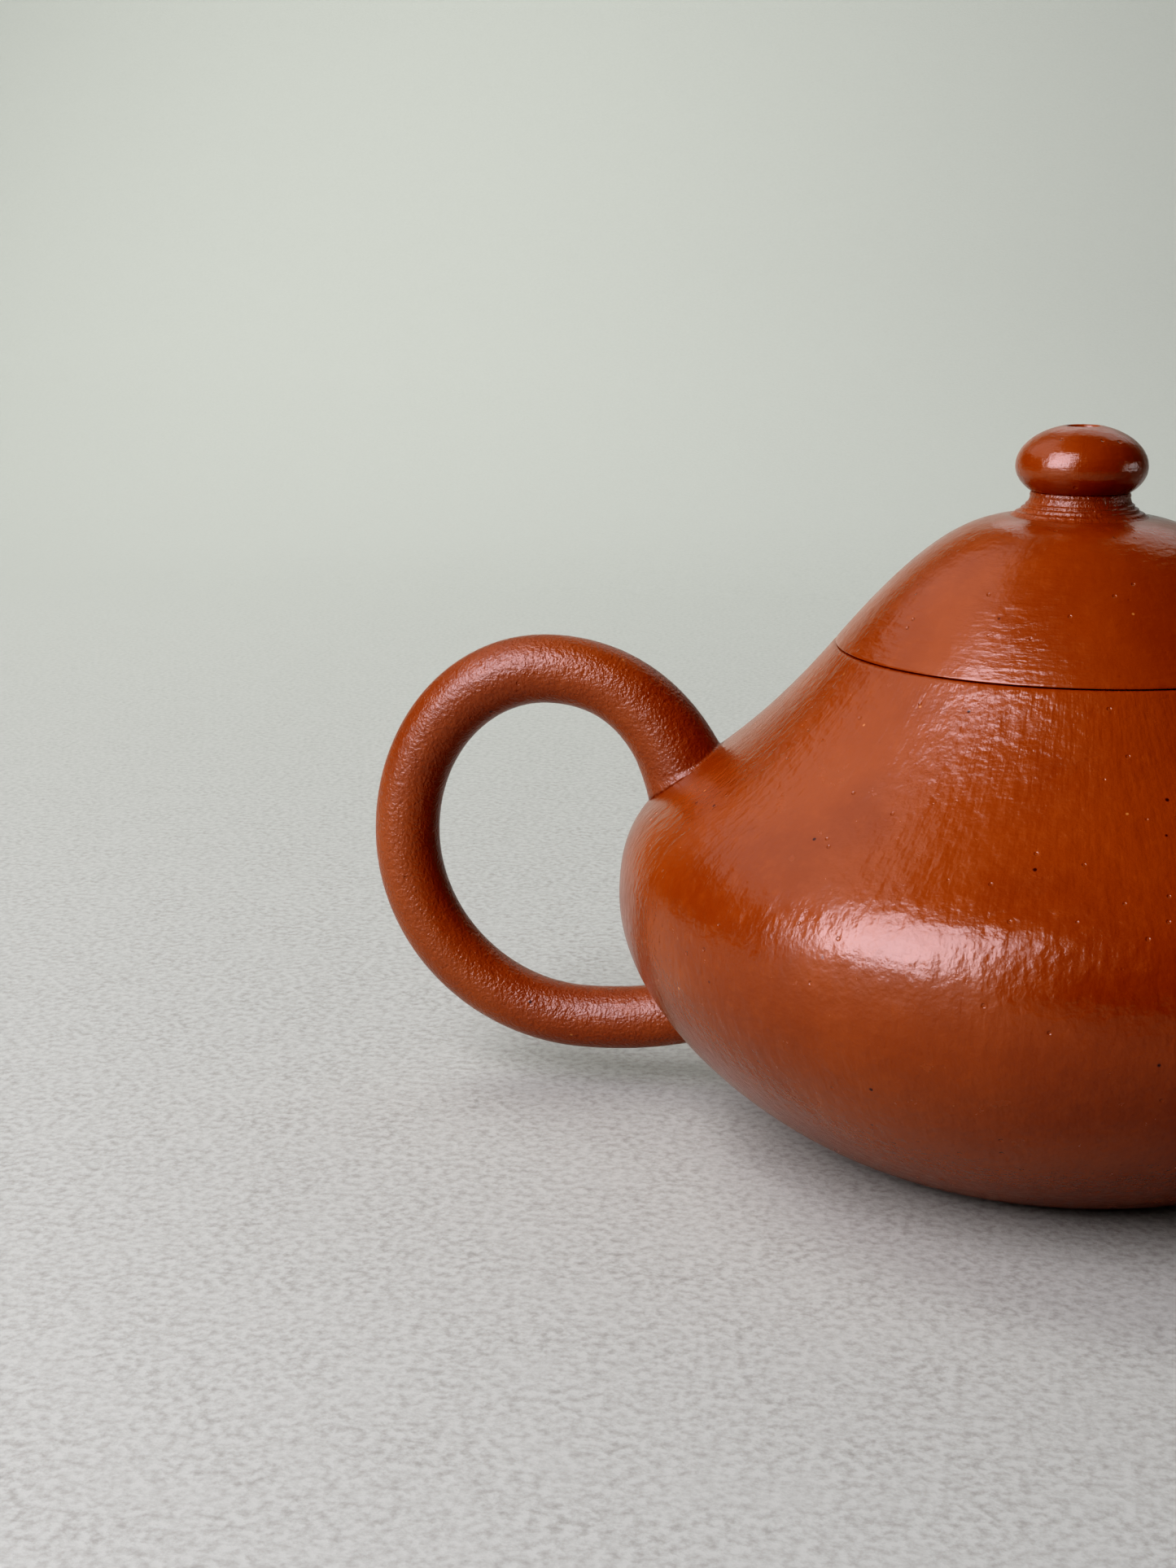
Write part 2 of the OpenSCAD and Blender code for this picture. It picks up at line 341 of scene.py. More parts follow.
class Kiln:
    """Makes each finish once and hands it out."""

    def __init__(self) -> None:
        self._made: dict[Working, bpy.types.Material] = {}

    def fire(self, working: Working) -> bpy.types.Material:
        """Give the material of a surface worked in this way."""
        if working not in self._made:
            self._made[working] = FINISHES[working].material()
        return self._made[working]

    def dress(self, piece: bpy.types.Object, choose: Callable[[Vector], Working] | Working) -> None:
        """Give a piece its clay.

        Args:
            piece: The piece.
            choose: How it was worked, or a rule that says it for the middle of a face.
        """
        mesh = piece.data
        mesh.materials.clear()
        if isinstance(choose, Working):
            mesh.materials.append(self.fire(choose))
            mesh.polygons.foreach_set("material_index", [0] * len(mesh.polygons))
            return
        worked = [choose(face.center) for face in mesh.polygons]
        order = sorted(set(worked), key=list(Working).index)
        for working in order:
            mesh.materials.append(self.fire(working))
        mesh.polygons.foreach_set("material_index", [order.index(working) for working in worked])


# --- Outlines -----------------------------------------------------------------------------------


@dataclass(frozen=True)
class Cubic:
    """A cubic curve in an upright plane: two ends, each with a direction and the length of its leg."""

    start: Point
    start_angle: float
    start_leg: float
    end: Point
    end_angle: float
    end_leg: float

    def _controls(self) -> tuple[Vector, Vector, Vector, Vector]:
        """Work out the four control points."""
        a, d = Vector(self.start), Vector(self.end)
        out, back = math.radians(self.start_angle), math.radians(self.end_angle)
        b = a + self.start_leg * Vector((math.cos(out), math.sin(out)))
        c = d - self.end_leg * Vector((math.cos(back), math.sin(back)))
        return a, b, c, d

    def at(self, t: float) -> Vector:
        """Give the point at a share of the way."""
        a, b, c, d = self._controls()
        s = 1 - t
        return a * s**3 + b * (3 * t * s * s) + c * (3 * t * t * s) + d * t**3

    def heading(self, t: float) -> Vector:
        """Give the unit direction at a share of the way."""
        a, b, c, d = self._controls()
        s = 1 - t
        return ((b - a) * s * s + (c - b) * (2 * t * s) + (d - c) * t * t).normalized()

    def points(self, count: int, inward: float = 0.0) -> list[Vector]:
        """Sample the curve, moved to its left.

        Args:
            count: Number of steps.
            inward: How far to move it.

        Returns:
            The points from start to end.
        """
        found = []
        for i in range(count + 1):
            way = self.heading(i / count)
            found.append(self.at(i / count) + inward * Vector((-way.y, way.x)))
        return found


def ease(legs: Sequence[Sequence[Vector]], sizes: Sequence[float], steps: int = 6, ring: bool = True) -> list[Vector]:
    """Join stretches of an outline end to end with each corner rounded.

    Args:
        legs: The stretches, each starting where the last one ended.
        sizes: How far back from the corner each rounding starts, at the end of each stretch.
        steps: Points in one rounding.
        ring: Whether the last stretch meets the first.

    Returns:
        The whole outline.
    """
    count = len(legs)
    starts: list[float] = [sizes[i - 1] if i or ring else 0.0 for i in range(count)]
    ends: list[float] = [sizes[i] if i < count - 1 or ring else 0.0 for i in range(count)]
    cut = [trim(list(leg), starts[i], ends[i]) for i, leg in enumerate(legs)]
    outline: list[Vector] = []
    for i, leg in enumerate(cut):
        outline += leg if sizes[i - 1] > 0 or not i else leg[1:]
        if i == count - 1 and not ring:
            break
        corner, following = legs[i][-1], cut[(i + 1) % count][0]
        if sizes[i] > 0:
            for k in range(1, steps):
                t = k / steps
                outline.append(leg[-1] * (1 - t) ** 2 + corner * (2 * t * (1 - t)) + following * t * t)
    return outline


def trim(points: list[Vector], front: float, back: float) -> list[Vector]:
    """Cut a length off each end of a run of points."""
    for distance, side in ((front, 0), (back, -1)):
        if distance <= 0:
            continue
        if side:
            points.reverse()
        left = distance
        while len(points) > 2 and (points[1] - points[0]).length <= left:
            left -= (points[1] - points[0]).length
            points.pop(0)
        span = (points[1] - points[0]).length
        points[0] = points[0].lerp(points[1], min(0.999, left / span))
        if side:
            points.reverse()
    return points


def line(*spots: Point, step: float = 1.2 * MM) -> list[Vector]:
    """Give points along straight runs between the spots, no further apart than a step."""
    found = [Vector(spots[0])]
    for a, b in zip(spots, spots[1:]):
        count = max(1, math.ceil((Vector(b) - Vector(a)).length / step))
        found += [Vector(a).lerp(Vector(b), k / count) for k in range(1, count + 1)]
    return found


@dataclass
class PotOutline:
    """The sizes that every piece shares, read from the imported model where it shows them.

    Attributes:
        belly_r: Greatest radius.
        belly_z: Its height.
        foot_r: Outer radius of the standing ring.
        foot_land: Width of that ring.
        wall: Thickness of the wall.
        mouth_r: Radius of the seam.
        mouth_z: Its height.
        bore_r: Radius of the mouth's inner wall.
        rim_z: Underside of the mouth ring.
        disc_r: Radius of the base disc.
        disc_edge_z: Height of the disc's lower edge.
        collar_r: Radius of the collar's foot.
        crown_z: Height where the collar stands on the lid.
        flange_in_r: Inner radius of the flange.
        vent_r: Radius of the vent.
    """

    belly_r: float = 39 * MM
    belly_z: float = 21 * MM
    foot_r: float = 19.5 * MM
    foot_land: float = 2 * MM
    wall: float = 2.4 * MM
    mouth_r: float = 20.5 * MM
    mouth_z: float = 43.2 * MM
    bore_r: float = 17.4 * MM
    rim_z: float = 40.6 * MM
    disc_r: float = 16.5 * MM
    disc_edge_z: float = 0.4 * MM
    collar_r: float = 5.8 * MM
    crown_z: float = 54.5 * MM
    flange_in_r: float = 15.0 * MM
    vent_r: float = 1.35 * MM
    _heights: list[float] = field(default_factory=list)
    _radii: list[float] = field(default_factory=list)

    def __post_init__(self) -> None:
        """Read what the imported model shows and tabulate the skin."""
        self.belly_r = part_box("body_wall")[1].y
        self.mouth_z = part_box("mouth_ring")[1].z
        self.rim_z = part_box("mouth_ring")[0].z
        self.disc_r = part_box("base_disc")[1].x
        self.disc_edge_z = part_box("base_disc")[0].z
        self.collar_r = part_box("knob_collar")[1].x
        self.crown_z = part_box("knob_collar")[0].z
        skin = self.flank().points(120) + self.shoulder().points(160)[1:] + self.crown().points(120)[1:]
        self._heights = [p.y for p in skin]
        self._radii = [p.x for p in skin]

    def flank(self) -> Cubic:
        """Give the outline from the foot to the belly."""
        reach = self.belly_r - self.foot_r
        return Cubic((self.foot_r, 0.0), 8, 0.24 * reach, (self.belly_r, self.belly_z), 90, 0.51 * self.belly_z)

    def shoulder(self) -> Cubic:
        """Give the outline from the belly to the seam."""
        rise = self.mouth_z - self.belly_z
        chord = math.hypot(self.belly_r - self.mouth_r, rise)
        return Cubic(
            (self.belly_r, self.belly_z), 90, 0.455 * rise, (self.mouth_r, self.mouth_z), 129, 0.68 * chord
        )

    def crown(self) -> Cubic:
        """Give the outline of the lid, which leaves the seam in the shoulder's direction."""
        reach = self.mouth_r - self.collar_r
        return Cubic(
            (self.mouth_r, self.mouth_z), 129, 0.81 * reach, (self.collar_r, self.crown_z), 173, 0.25 * reach
        )

    def skin_r(self, z: float) -> float:
        """Give the outer radius at a height."""
        if z <= self._heights[0]:
            return self._radii[0]
        i = min(bisect_left(self._heights, z), len(self._heights) - 1)
        low, high = self._heights[i - 1], self._heights[i]
        share = (z - low) / max(high - low, 1e-9)
        return self._radii[i - 1] + (self._radii[i] - self._radii[i - 1]) * min(1.0, share)

    def outside(self, spot: Vector) -> float:
        """Say how far a point stands out of the skin, measured level."""
        return math.hypot(spot.x, spot.y) - self.skin_r(spot.z)

    def onto_skin(self, spot: Vector) -> Vector:
        """Move a point level onto the skin."""
        r = math.hypot(spot.x, spot.y)
        target = self.skin_r(spot.z)
        return Vector((spot.x * target / r, spot.y * target / r, spot.z))

    def is_lining(self, spot: Vector) -> bool:
        """Say whether a point of the shell is nearer its inner face than its skin."""
        return self.outside(spot) < -0.45 * self.wall


# --- Shaping ------------------------------------------------------------------------------------


def halve(low: float, high: float, is_short: Callable[[float], bool]) -> float:
    """Close in on the share between low and high where is_short stops being true."""
    for _ in range(HALVINGS):
        middle = (low + high) / 2
        if is_short(middle):
            low = middle
        else:
            high = middle
    return (low + high) / 2


def loop_edges(verts: Sequence[bmesh.types.BMVert]) -> list[bmesh.types.BMEdge]:
    """List the edges that run between these points, each once and in a fixed order."""
    within = set(verts)
    return list(dict.fromkeys(e for v in verts for e in v.link_edges if e.other_vert(v) in within))


def finish_mesh(name: str, shape: bmesh.types.BMesh) -> bpy.types.Object:
    """Close a shape's seams, face it outwards and make it an object at the origin.

    Args:
        name: The piece's name.
        shape: The shape, which is freed.

    Returns:
        The new object.
    """
    bmesh.ops.remove_doubles(shape, verts=shape.verts, dist=WELD)
    bmesh.ops.recalc_face_normals(shape, faces=shape.faces)
    mesh = bpy.data.meshes.new(name)
    shape.to_mesh(mesh)
    shape.free()
    mesh.shade_smooth()
    piece = bpy.data.objects.new(name, mesh)
    bpy.context.scene.collection.objects.link(piece)
    return piece


def throw(name: str, outline: Sequence[Vector], steps: int = 224, ring: bool = True) -> bpy.types.Object:
    """Turn an outline round the pot's axis, as on a wheel.

    Args:
        name: The piece's name.
        outline: Points of radius and height.
        steps: Facets round the piece.
        ring: Whether the outline's last point joins its first.

    Returns:
        The turned piece.
    """
    shape = bmesh.new()
    spots = [shape.verts.new((p.x, 0.0, p.y)) for p in outline]
    pairs = list(zip(spots, spots[1:])) + ([(spots[-1], spots[0])] if ring else [])
    edges = [shape.edges.new(pair) for pair in pairs]
    bmesh.ops.spin(
        shape, geom=spots + edges, cent=(0, 0, 0), axis=UP, angle=2 * math.pi, steps=steps, use_merge=True
    )
    return finish_mesh(name, shape)


def hide_under(piece: bpy.types.Object, body: str, *nodes: str) -> bpy.types.Object:
    """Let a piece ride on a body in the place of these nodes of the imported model."""
    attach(piece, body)
    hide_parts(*nodes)
    log.info("%s rides on %s for %s, %d faces", piece.name, body, ", ".join(nodes), len(piece.data.polygons))
    return piece


# --- The pot ------------------------------------------------------------------------------------


@dataclass
class PotBody:
    """The thrown and beaten body: wall, mouth ring and base disc.

    Attributes:
        outline: The shared sizes.
        edge: Rounding of the lip at the seam.
        press: How far the base is pressed up at its middle.
        worn_z: Height up to which the standing ring is worn bare.
        recess_z: Height up to which the inner side of that ring is left bare.
    """

    outline: PotOutline
    edge: float = 0.3 * MM
    press: float = 0.8 * MM
    worn_z: float = 0.06 * MM
    recess_z: float = 0.5 * MM

    def wall_outline(self) -> list[Vector]:
        """Trace the wall: up the skin, over the lip, down the mouth and the lining, under the foot."""
        o = self.outline
        skin = o.flank().points(56) + o.shoulder().points(72)[1:]
        lining = o.flank().points(40, o.wall) + o.shoulder().points(48, o.wall)[1:]
        lining = [p for p in reversed(lining) if o.wall <= p.y <= o.rim_z]
        ledge_r = lining[0].x
        legs = [
            skin,
            line((o.mouth_r, o.mouth_z), (o.bore_r, o.mouth_z)),
            line((o.bore_r, o.mouth_z), (o.bore_r, o.rim_z)),
            line((o.bore_r, o.rim_z), (ledge_r, lining[0].y)),
            lining + [Vector((o.disc_r, o.wall))],
            line((o.disc_r, o.wall), (o.disc_r, o.disc_edge_z)),
            line((o.disc_r, o.disc_edge_z), (o.foot_r - o.foot_land, 0.0)),
            line((o.foot_r - o.foot_land, 0.0), (o.foot_r, 0.0)),
        ]
        return ease(legs, [self.edge, 0.35 * MM, 0.5 * MM, 0.6 * MM, 0.0, 0.0, 0.25 * MM, 0.35 * MM])

    def build_wall(self) -> bpy.types.Object:
        """Throw the wall, which the spout later pierces behind it."""
        return throw("pot_wall", self.wall_outline(), 256)

    def build_disc(self) -> bpy.types.Object:
        """Press the disc that closes the bottom."""
        o = self.outline
        thick = o.wall - o.disc_edge_z
        gap = 0.02 * MM
        rim = o.disc_r - gap

        def face(z: float) -> list[Vector]:
            return [Vector((rim * i / 16, z + self.press * (1 - (i / 16) ** 2))) for i in range(17)]

        low, high = face(o.disc_edge_z), face(o.disc_edge_z + thick)
        outline = ease([low, [low[-1], high[-1]], high[::-1]], [0.2 * MM, 0.15 * MM, 0.0], ring=False)
        return throw("base_plate", outline, 160, ring=False)

    def worked(self, spot: Vector) -> Working:
        """Say how the wall was worked at a point."""
        in_recess = math.hypot(spot.x, spot.y) < self.outline.foot_r - self.outline.foot_land
        if spot.z < self.worn_z or (spot.z < self.recess_z and in_recess):
            return Working.FOOT
        lip = spot.z > self.outline.mouth_z - 0.3 * MM
        return Working.SCRAPED if self.outline.is_lining(spot) and not lip else Working.BEATEN

    def make(self, kiln: Kiln) -> bpy.types.Object:
        """Build and dress the wall and the disc, and give the wall back to be pierced."""
        wall = hide_under(self.build_wall(), "pot", "body_wall", "mouth_ring")
        kiln.dress(wall, self.worked)
        disc = hide_under(self.build_disc(), "pot", "base_disc")
        kiln.dress(disc, Working.SCRAPED)
        return wall


# --- What is luted to the pot ---------------------------------------------------------------------


@dataclass
class Root:
    """Where a rolled piece of clay is luted to the body.

    Attributes:
        fillet: Size of the smoothed clay on the sides of the joint.
        inner_fillet: Its size on the inner side of the bend, where a thumb smooths it.
    """

    fillet: float
    inner_fillet: float

    def size(self, turn: float) -> float:
        """Give the fillet's size at an angle round the piece, where half a turn is the inner side."""
        inward = max(0.0, -math.cos(turn))
        return self.fillet + (self.inner_fillet - self.fillet) * inward**2


@dataclass
class RolledClay:
    """A roll of clay along a bent route in the plane of the spout and the handle.

    Attributes:
        outline: The shared sizes of the body that it is luted to.
        route: The stretches of its middle line, in radius and height.
        side: 1 towards the spout, -1 towards the handle.
        radius: Gives its radius at a share of the whole route.
        sides: Facets round it.
    """

    outline: PotOutline
    route: Sequence[Cubic]
    side: int
    radius: Callable[[float], float]
    sides: int = 56

    def _middle(self, share: float) -> tuple[Vector, Vector]:
        """Give the middle point and the direction at a share of the route."""
        place = min(max(share, 0.0), 1.0) * len(self.route)
        stretch = self.route[min(int(place), len(self.route) - 1)]
        t = place - min(int(place), len(self.route) - 1)
        spot, way = stretch.at(t), stretch.heading(t)
        return Vector((self.side * spot.x, 0.0, spot.y)), Vector((self.side * way.x, 0.0, way.y))

    def skin(self, share: float, turn: float, radius: Callable[[float], float] | None = None) -> Vector:
        """Give a point of its surface.

        Args:
            share: Share of the route.
            turn: Angle round it, from its outer side.
            radius: Another radius to use, as for a channel.

        Returns:
            The point.
        """
        middle, way = self._middle(share)
        outer = Vector((-self.side * way.z, 0.0, self.side * way.x))
        r = (radius or self.radius)(share)
        return middle + r * (math.cos(turn) * outer + math.sin(turn) * ACROSS)

    def landing(self, turn: float, inside: float, clear: float) -> float:
        """Find the share of the route at which a line of its surface meets the body.

        Args:
            turn: Angle round the piece.
            inside: A share where it is within the body.
            clear: A share where it is clear of it.

        Returns:
            The share between the two.
        """
        return halve(inside, clear, lambda share: self.outline.outside(self.skin(share, turn)) < 0)

    def fillet(self, turn: float, inside: float, clear: float, root: Root, steps: int) -> tuple[float, list[Vector]]:
        """Shape the smoothed clay of the joint along one line of the surface.

        Args:
            turn: Angle round the piece.
            inside: A share of the route within the body.
            clear: A share clear of it.
            root: The joint.
            steps: Steps from the roll to the body.

        Returns:
            The share at which the roll begins, and the points from it to the body.
        """
        meet = self.landing(turn, inside, clear)
        corner = self.skin(meet, turn)
        size = root.size(turn)
        toward = 1 if clear > inside else -1
        begin = meet
        while (self.skin(begin, turn) - corner).length < size:
            begin += toward * 0.0008
        start = self.skin(begin, turn)
        away = corner - self._middle(meet)[0]
        nudge = 0.05 * MM
        normal = self._skin_normal(corner, nudge)
        away = (away - away.dot(normal) * normal).normalized()
        end = self.outline.onto_skin(corner + size * away)
        points = []
        for k in range(steps + 1):
            t = k / steps
            points.append(start * (1 - t) ** 2 + corner * (2 * t * (1 - t)) + end * t * t)
        return begin, points

    def _skin_normal(self, spot: Vector, nudge: float) -> Vector:
        """Give the body's outward direction at a point of its skin."""
        slope = (self.outline.skin_r(spot.z + nudge) - self.outline.skin_r(spot.z - nudge)) / (2 * nudge)
        flat = Vector((spot.x, spot.y, 0.0)).normalized()
        return (flat - slope * UP).normalized()


def rings(shape: bmesh.types.BMesh, count: int, sides: int) -> list[list[bmesh.types.BMVert]]:
    """Extrude a circle into a run of rings, to be shaped.

    Args:
        shape: The shape to add to.
        count: Number of rings.
        sides: Points in each.

    Returns:
        The rings, each in order of the angle round it.
    """
    made = bmesh.ops.create_circle(shape, cap_ends=False, radius=1.0, segments=sides)["verts"]
    edges = loop_edges(made)

    def ordered(verts: Sequence[bmesh.types.BMVert]) -> list[bmesh.types.BMVert]:
        return sorted(verts, key=lambda v: round(math.atan2(v.co.y, v.co.x) % (2 * math.pi - 1e-6), 5))

    found = [ordered(made)]
    for _ in range(count - 1):
        grown = bmesh.ops.extrude_edge_only(shape, edges=edges)["geom"]
        verts = [g for g in grown if isinstance(g, bmesh.types.BMVert)]
        edges = [g for g in grown if isinstance(g, bmesh.types.BMEdge) and all(v in verts for v in g.verts)]
        bmesh.ops.translate(shape, verts=verts, vec=UP)
        found.append(ordered(verts))
    return found


@dataclass
class Handle:
    """The ring handle, rolled, bent and luted to the shoulder and the flank.

    Attributes:
        outline: The shared sizes.
        reach: How far its middle line stands out past the belly.
        top_z: Height of its middle line at the top.
        low_z: Height of its middle line at its lowest.
        top_r: Its radius at the top.
        low_r: Its radius at the bottom.
        flare: How much thicker its upper root is.
        upper: The joint on the shoulder.
        lower: The joint on the flank.
    """

    outline: PotOutline
    reach: float = 20.98 * MM
    top_z: float = 39.5 * MM
    low_z: float = 6.6 * MM
    top_r: float = 3.2 * MM
    low_r: float = 2.8 * MM
    flare: float = 0.6 * MM
    upper: Root = field(default_factory=lambda: Root(0.35 * MM, 2.4 * MM))
    lower: Root = field(default_factory=lambda: Root(0.5 * MM, 1.6 * MM))

    def route(self) -> list[Cubic]:
        """Lay the middle line from the upper root round to the lower one."""
        o = self.outline
        top = Vector((o.belly_r + 7.3 * MM, self.top_z))
        back = Vector((o.belly_r + self.reach, (self.top_z + self.low_z) / 2 + 0.45 * MM))
        low = Vector((o.belly_r + 3.9 * MM, self.low_z))
        quarter = 0.5523
        start = o.shoulder().at(0.49) - o.wall / 2 * Vector((math.cos(math.radians(50)), -math.sin(math.radians(50))))
        end = o.flank().at(0.57) - o.wall * Vector((math.cos(math.radians(10)), -math.sin(math.radians(10))))
        rise, drop = (top - start).length, (low - end).length
        return [
            Cubic(tuple(start), 66, 0.33 * rise, tuple(top), 0, 0.44 * rise),
            Cubic(tuple(top), 0, quarter * (back.x - top.x), tuple(back), -90, quarter * (top.y - back.y)),
            Cubic(tuple(back), -90, quarter * (back.y - low.y), tuple(low), 180, quarter * (back.x - low.x)),
            Cubic(tuple(low), 180, 0.3 * drop, tuple(end), 155, 0.32 * drop),
        ]

    def thickness(self, share: float) -> float:
        """Give its radius at a share of the route, a little uneven as rolled clay is."""
        plain = self.top_r + (self.low_r - self.top_r) * share
        roots = self.flare * max(0.0, 1 - share / 0.25) ** 2 + self.flare / 2 * max(0.0, 1 - (1 - share) / 0.12) ** 2
        return plain + roots + 0.03 * MM * math.sin(23 * share + 0.6)

    def build(self) -> bpy.types.Object:
        """Roll the handle with its joints smoothed on."""
        roll = RolledClay(self.outline, self.route(), -1, self.thickness)
        shape = bmesh.new()
        steps, middle = 7, 132
        found = rings(shape, middle + 2 * steps + 1, roll.sides)
        for k in range(roll.sides):
            turn = 2 * math.pi * k / roll.sides
            first, near = roll.fillet(turn, 0.0, 0.2, self.upper, steps)
            last, far = roll.fillet(turn, 1.0, 0.85, self.lower, steps)
            spots = near[::-1]
            spots += [roll.skin(first + (last - first) * i / middle, turn) for i in range(1, middle)]
            spots += far
            for ring, spot in zip(found, spots):
                ring[k].co = spot
        self._close(shape, found)
        return finish_mesh("ring_handle", shape)

    def _close(self, shape: bmesh.types.BMesh, found: list[list[bmesh.types.BMVert]]) -> None:
        """Carry each end a little into the wall and cap it there."""
        for ring in (found[0], found[-1]):
            grown = bmesh.ops.extrude_edge_only(shape, edges=loop_edges(ring))["geom"]
            verts = [g for g in grown if isinstance(g, bmesh.types.BMVert)]
            centre = sum((v.co for v in verts), Vector()) / len(verts)
            inward = Vector((-centre.x, -centre.y, 0.0)).normalized()
            for v in verts:
                v.co = v.co.lerp(centre, 0.25) + 0.8 * MM * inward
            bmesh.ops.contextual_create(shape, geom=loop_edges(verts))

    def make(self, kiln: Kiln) -> None:
        """Build and dress the handle."""
        kiln.dress(hide_under(self.build(), "pot", "handle"), Working.ROLLED)


@dataclass
class Spout:
    """The spout: a tapered tube, curved up to a level lip.

    Attributes:
        outline: The shared sizes.
        root_r: Radius at the root.
        tip_r: Radius at the tip.
        reach: How far the middle of the tip stands out past the belly.
        lip_rise: Height of the lip above the seam.
        lip_wall: Thickness at the lip.
        inlet_r: Radius of the hole in the wall behind it.
        root_slope: Slope at the root, in degrees.
        tip_slope: Slope at the tip, in degrees.
        over: How far the middle line runs on past the lip.
        root: The joint on the shoulder.
    """

    outline: PotOutline
    root_r: float = 8.4 * MM
    tip_r: float = 4.0 * MM
    reach: float = 14.5 * MM
    lip_rise: float = 0.8 * MM
    lip_wall: float = 1.1 * MM
    inlet_r: float = 4.6 * MM
    root_slope: float = 22.0
    tip_slope: float = 62.0
    over: float = 6.0 * MM
    root: Root = field(default_factory=lambda: Root(1.3 * MM, 1.3 * MM))

    def inlet(self) -> Vector:
        """Give the place where its axis passes the lining."""
        return self.outline.shoulder().at(0.07) - Vector((self.outline.wall, 0.0))

    def route(self) -> Cubic:
        """Lay the middle line from inside the wall to past the lip."""
        slope, tip_slope = math.radians(self.root_slope), math.radians(self.tip_slope)
        start = self.inlet() - 4 * MM * Vector((math.cos(slope), math.sin(slope)))
        tip = Vector((self.outline.belly_r + self.reach, self.outline.mouth_z + self.lip_rise))
        span = (tip - start).length
        end = tip + self.over * Vector((math.cos(tip_slope), math.sin(tip_slope)))
        return Cubic(tuple(start), self.root_slope, 0.38 * span, tuple(end), self.tip_slope, 0.5 * span)

    def outer(self, share: float) -> float:
        """Give the outer radius at a share of the route."""
        return self.tip_r + (self.root_r - self.tip_r) * max(0.0, 1 - share) ** 1.5

    def inner(self, share: float) -> float:
        """Give the channel's radius at a share of the route."""
        tip = self.tip_r - self.lip_wall
        return tip + (self.inlet_r + 0.4 * MM - tip) * max(0.0, 1 - share) ** 1.2

    def build(self) -> bpy.types.Object:
        """Shape the tube, its lip and its channel as one closed skin."""
        roll = RolledClay(self.outline, [self.route()], 1, self.outer, 64)
        lip_z = self.outline.mouth_z + self.lip_rise
        ease_z = 0.5 * MM
        shape = bmesh.new()
        steps, middle, lip = 7, 48, 8
        found = rings(shape, steps + middle + lip + middle + 1, roll.sides)
        for k in range(roll.sides):
            turn = 2 * math.pi * k / roll.sides
            first, near = roll.fillet(turn, 0.0, 0.45, self.root, steps)
            outer_end = self._share_at(roll, turn, lip_z - ease_z, self.outer)
            inner_end = self._share_at(roll, turn, lip_z - ease_z, self.inner)
            spots = near[::-1]
            spots += [roll.skin(first + (outer_end - first) * i / middle, turn) for i in range(1, middle + 1)]
            a, b = spots[-1], roll.skin(inner_end, turn, self.inner)
            for i in range(1, lip):
                swing = math.pi * i / lip
                spots.append(a.lerp(b, (1 - math.cos(swing)) / 2) + ease_z * math.sin(swing) * UP)
            begin = self._wall_share(roll, turn)
            spots += [
                roll.skin(inner_end + (begin - inner_end) * i / middle, turn, self.inner) for i in range(middle + 1)
            ]
            for ring, spot in zip(found, spots):
                ring[k].co = spot
        bmesh.ops.bridge_loops(shape, edges=loop_edges(found[0]) + loop_edges(found[-1]))
        return finish_mesh("spout_tube", shape)

    def _share_at(self, roll: RolledClay, turn: float, z: float, radius: Callable[[float], float]) -> float:
        """Find the share of the route at which a line of the surface reaches a height."""
        return halve(0.4, 1.0, lambda share: roll.skin(share, turn, radius).z < z)

    def _wall_share(self, roll: RolledClay, turn: float) -> float:
        """Find the share at which the channel's line is just under the body's skin."""
        depth = -0.6 * MM
        return halve(0.0, 0.5, lambda share: self.outline.outside(roll.skin(share, turn, self.inner)) < depth)

    def worked(self, spot: Vector) -> Working:
        """Say how the spout was worked at a point: the channel was bored and left."""
        route = self.route()
        flat = Vector((spot.x, spot.z))
        start, end = route.at(0.0), route.at(1.0)
        span = (end - start).length
        share = (flat - start).dot(end - start) / span**2
        for _ in range(4):
            share = min(max(share + (flat - route.at(share)).dot(route.heading(share)) / span, 0.0), 1.0)
        off = math.hypot((route.at(share) - flat).length, spot.y)
        middle_of_wall = (self.outer(share) + self.inner(share)) / 2
        return Working.SCRAPED if off < middle_of_wall else Working.ROLLED

    def pierce(self, wall: bpy.types.Object) -> None:
        """Bore the inlet through the wall along the spout's axis."""
        slope = math.radians(self.root_slope)
        cutter_shape = bmesh.new()
        bmesh.ops.create_cone(
            cutter_shape, cap_ends=True, segments=64, radius1=self.inlet_r, radius2=self.inlet_r, depth=9 * MM
        )
        spot = self.inlet() + 0.5 * MM * Vector((math.cos(slope), math.sin(slope)))
        place = Matrix.Translation((spot.x, 0.0, spot.y)) @ Euler((0.0, math.pi / 2 - slope, 0.0)).to_matrix().to_4x4()
        bmesh.ops.transform(cutter_shape, matrix=place, verts=cutter_shape.verts)
        cutter = finish_mesh("inlet_borer", cutter_shape)
        bore = wall.modifiers.new("inlet", "BOOLEAN")
        bore.object = cutter
        bore.operation = "DIFFERENCE"
        bore.solver = "EXACT"
        graph = bpy.context.evaluated_depsgraph_get()
        wall.data = bpy.data.meshes.new_from_object(wall.evaluated_get(graph))
        wall.modifiers.clear()
        bpy.data.objects.remove(cutter)

    def make(self, kiln: Kiln, wall: bpy.types.Object) -> None:
        """Build and dress the spout, and bore the wall behind it."""
        kiln.dress(hide_under(self.build(), "pot", "spout"), self.worked)
        self.pierce(wall)


# --- The lid --------------------------------------------------------------------------------------


